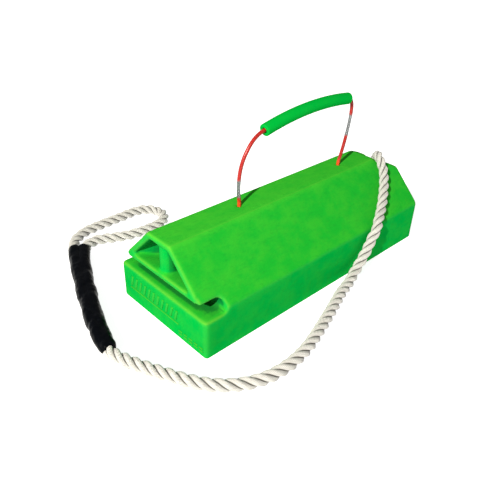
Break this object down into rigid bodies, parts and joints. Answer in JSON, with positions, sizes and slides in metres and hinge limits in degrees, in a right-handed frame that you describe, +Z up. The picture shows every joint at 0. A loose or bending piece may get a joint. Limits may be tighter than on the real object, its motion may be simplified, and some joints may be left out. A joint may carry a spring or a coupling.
{
  "type": "wheel chock",
  "caption": "Gable-shaped cast wheel chock with a hollow marked end, a wire rope carry handle with a hose grip, and a laid rope lanyard with a spliced eye.",
  "frame": {"origin": "on the ground under the middle of the block, so the block stands on z = 0", "axes": "+X along the block from the marked, hollow end to the rope end; +Z up; Y across the block, with the rope lying on the -Y side"},
  "size_m": [0.482, 0.4016, 0.22],
  "materials": {
    "chock_green": "cast, slightly glossy",
    "grip_green": "smooth",
    "jacket_red": "smooth",
    "wire_rope": "stranded",
    "crimp_metal": "crimped",
    "washer_steel": "zinc plated",
    "rope_white": "three-strand laid",
    "sleeve_black": "shrunk, lumpy, slightly glossy"
  },
  "bodies": {
    "chock": {"chock_block": "chock_green", "cable_core_ends": "wire_rope", "cable_jacket_ends": "jacket_red", "crimp_stops": "crimp_metal", "stop_washers": "washer_steel", "lanyard_rope": "rope_white", "lanyard_eye": "rope_white", "splice_sleeve": "sleeve_black", "stopper_knot": "rope_white"},
    "handle": {"cable_core": "wire_rope", "cable_jacket": "jacket_red"},
    "grip": {"hose_grip": "grip_green"}
  },
  "joints": [
    {"name": "handle_lean", "type": "hinge", "parent": "chock", "child": "handle", "pos_m": [0.0125, 0, 0.1202], "axis": [1, 0, 0], "range_deg": [-70, 70], "stiffness_Nm_per_rad": 0.4},
    {"name": "grip_slide", "type": "hinge", "parent": "handle", "child": "grip", "pos_m": [0.053, 0, -0.206], "axis": [0, 1, 0], "range_deg": [-0.8, 0.15]}
  ]
}
